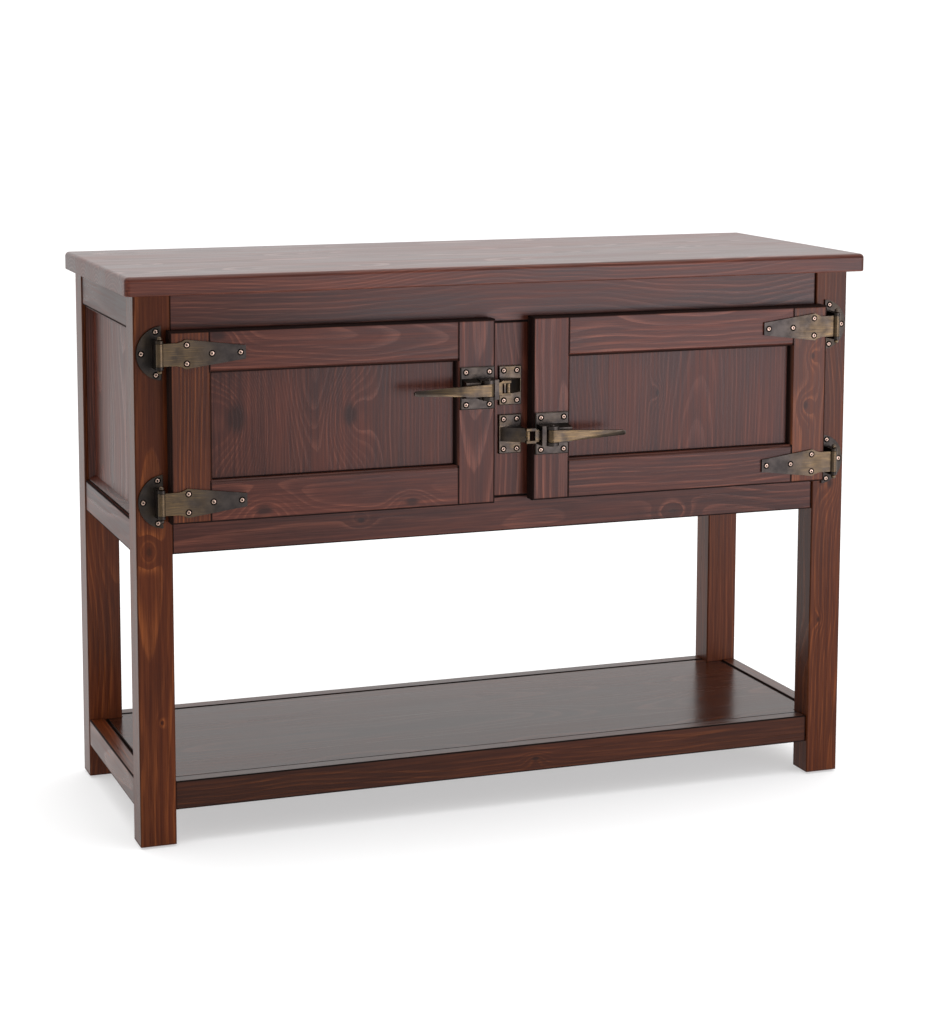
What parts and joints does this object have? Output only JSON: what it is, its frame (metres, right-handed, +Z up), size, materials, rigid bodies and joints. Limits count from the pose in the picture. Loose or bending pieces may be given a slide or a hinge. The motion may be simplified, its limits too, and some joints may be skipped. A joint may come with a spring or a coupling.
{
  "type": "console cabinet",
  "caption": "Console cabinet in stained pine: overlay doors on strap hinges with lever latches, panelled sides, square legs and an open lower shelf.",
  "frame": {"origin": "on the floor, under the middle of the whole object's box, latch handles included", "axes": "+X to the right of someone facing the doors, +Y to the back, +Z up"},
  "size_m": [1.064, 0.433, 0.762],
  "materials": {
    "top_wood": "stained pine under satin lacquer",
    "inner_wood": "lightly stained, no lacquer",
    "panel_wood": "stained pine under satin lacquer",
    "door_wood": "stained pine under satin lacquer",
    "shelf_wood": "stained pine under satin lacquer",
    "case_wood": "stained pine under satin lacquer",
    "antique_brass": "darkened brass, rubbed bright on the edges",
    "screw_brass": "satin, dark in the driver recess",
    "spring_steel": "oiled",
    "glide_nylon": "matte"
  },
  "bodies": {
    "root": {"back_bottom_rail": "case_wood", "back_panel": "inner_wood", "back_top_rail": "case_wood", "case_floor": "inner_wood", "case_screws": "screw_brass", "centre_stile": "case_wood", "cleats": "inner_wood", "foot_glides": "glide_nylon", "front_bottom_rail": "case_wood", "front_top_rail": "case_wood", "hinge_pins": "antique_brass", "hinge_plate_lower_left": "antique_brass", "hinge_plate_lower_right": "antique_brass", "hinge_plate_upper_left": "antique_brass", "hinge_plate_upper_right": "antique_brass", "keeper_lower": "antique_brass", "keeper_upper": "antique_brass", "leg_back_left": "case_wood", "leg_back_right": "case_wood", "leg_front_left": "case_wood", "leg_front_right": "case_wood", "shelf_back_rail": "shelf_wood", "shelf_board": "shelf_wood", "shelf_front_rail": "shelf_wood", "shelf_side_rail_left": "shelf_wood", "shelf_side_rail_right": "shelf_wood", "side_beads": "case_wood", "side_bottom_rail_left": "case_wood", "side_bottom_rail_right": "case_wood", "side_panel_left": "panel_wood", "side_panel_right": "panel_wood", "side_top_rail_left": "case_wood", "side_top_rail_right": "case_wood", "top_board": "top_wood"},
    "left_door": {"left_door_bottom_rail": "door_wood", "left_door_hinge_stile": "door_wood", "left_door_latch_stile": "door_wood", "left_door_panel": "panel_wood", "left_door_screws": "screw_brass", "left_door_straps": "antique_brass", "left_door_top_rail": "door_wood", "upper_latch_base": "antique_brass", "upper_latch_pin": "antique_brass", "upper_latch_spring": "spring_steel"},
    "upper_lever": {"upper_latch_lever": "antique_brass", "upper_latch_axle": "antique_brass"},
    "upper_roller": {"upper_latch_roller": "antique_brass"},
    "right_door": {"right_door_bottom_rail": "door_wood", "right_door_hinge_stile": "door_wood", "right_door_latch_stile": "door_wood", "right_door_panel": "panel_wood", "right_door_screws": "screw_brass", "right_door_straps": "antique_brass", "right_door_top_rail": "door_wood", "lower_latch_base": "antique_brass", "lower_latch_pin": "antique_brass", "lower_latch_spring": "spring_steel"},
    "lower_lever": {"lower_latch_lever": "antique_brass", "lower_latch_axle": "antique_brass"},
    "lower_roller": {"lower_latch_roller": "antique_brass"}
  },
  "joints": [
    {"name": "left_door_hinge", "type": "hinge", "parent": "root", "child": "left_door", "pos_m": [-0.4884, -0.186, 0.56415], "axis": [0, 0, -1], "range_deg": [0, 175]},
    {"name": "upper_lever_pivot", "type": "hinge", "parent": "left_door", "child": "upper_lever", "pos_m": [-0.0465, -0.2075, 0.59765], "axis": [0, 0, 1], "range_deg": [0, 18], "stiffness_Nm_per_rad": 0.12},
    {"name": "upper_roller_spin", "type": "hinge", "parent": "upper_lever", "child": "upper_roller", "pos_m": [-0.0145, -0.198, 0.59765], "axis": [0, 0, 1], "continuous": true},
    {"name": "right_door_hinge", "type": "hinge", "parent": "root", "child": "right_door", "pos_m": [0.4884, -0.186, 0.56415], "axis": [0, 0, 1], "range_deg": [0, 175]},
    {"name": "lower_lever_pivot", "type": "hinge", "parent": "right_door", "child": "lower_lever", "pos_m": [0.0465, -0.2075, 0.53065], "axis": [0, 0, -1], "range_deg": [0, 18], "stiffness_Nm_per_rad": 0.12},
    {"name": "lower_roller_spin", "type": "hinge", "parent": "lower_lever", "child": "lower_roller", "pos_m": [0.0145, -0.198, 0.53065], "axis": [0, 0, 1], "continuous": true}
  ]
}
